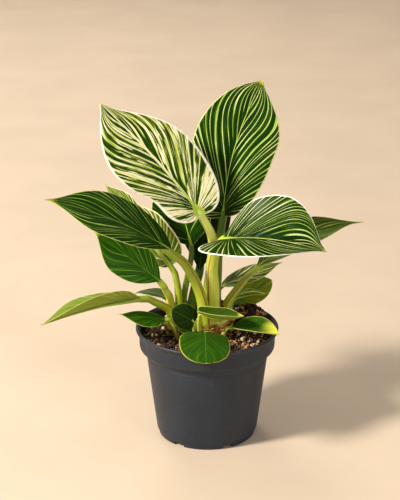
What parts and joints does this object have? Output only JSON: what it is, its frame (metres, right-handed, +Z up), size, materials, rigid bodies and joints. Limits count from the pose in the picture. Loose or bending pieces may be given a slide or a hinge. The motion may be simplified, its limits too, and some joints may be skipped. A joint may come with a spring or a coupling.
{
  "type": "potted philodendron",
  "caption": "Variegated house plant with long pin-striped leaves on thick stalks, growing from potting mix in a round dark nursery pot.",
  "frame": {"origin": "centre of the flat disc under the pot, on the surface that the pot stands on", "axes": "+Z up along the pot's axis, -Y the way the plant faces, +X to the right seen from in front"},
  "size_m": [0.2682, 0.1475, 0.2972],
  "materials": {
    "pot_plastic": "matte, charcoal, soft sheen",
    "potting_mix": "loose damp bark and peat with perlite",
    "stem": "smooth green skin with dry papery sheaths",
    "leaf_cream": "satin, cream with broken green stripes",
    "leaf_striped": "satin, dark green with pale pin stripes",
    "leaf_green": "satin, mid green with pale margins",
    "leaf_olive": "satin, olive underside with pale margins"
  },
  "bodies": {
    "root": {"pot": "pot_plastic", "soil": "potting_mix", "stem_main": "stem", "stem_side": "stem", "leaf_tall_pale": "leaf_cream", "leaf_tall_dark": "leaf_striped", "leaf_right_broad": "leaf_striped", "leaf_left_broad": "leaf_striped", "leaf_left_low": "leaf_green", "leaf_left_rear": "leaf_olive", "leaf_centre_left": "leaf_striped", "leaf_centre_rear": "leaf_striped", "leaf_right_long": "leaf_striped", "leaf_left_drooping": "leaf_olive", "leaf_right_slim": "leaf_green", "leaf_right_olive": "leaf_olive", "leaf_right_folded": "leaf_olive", "leaf_left_behind": "leaf_green", "leaf_left_soil": "leaf_green", "leaf_round_dark": "leaf_striped", "leaf_cupped": "leaf_olive", "leaf_right_soil": "leaf_green", "leaf_rim_round": "leaf_green", "leaf_small_dark": "leaf_striped"}
  },
  "joints": []
}
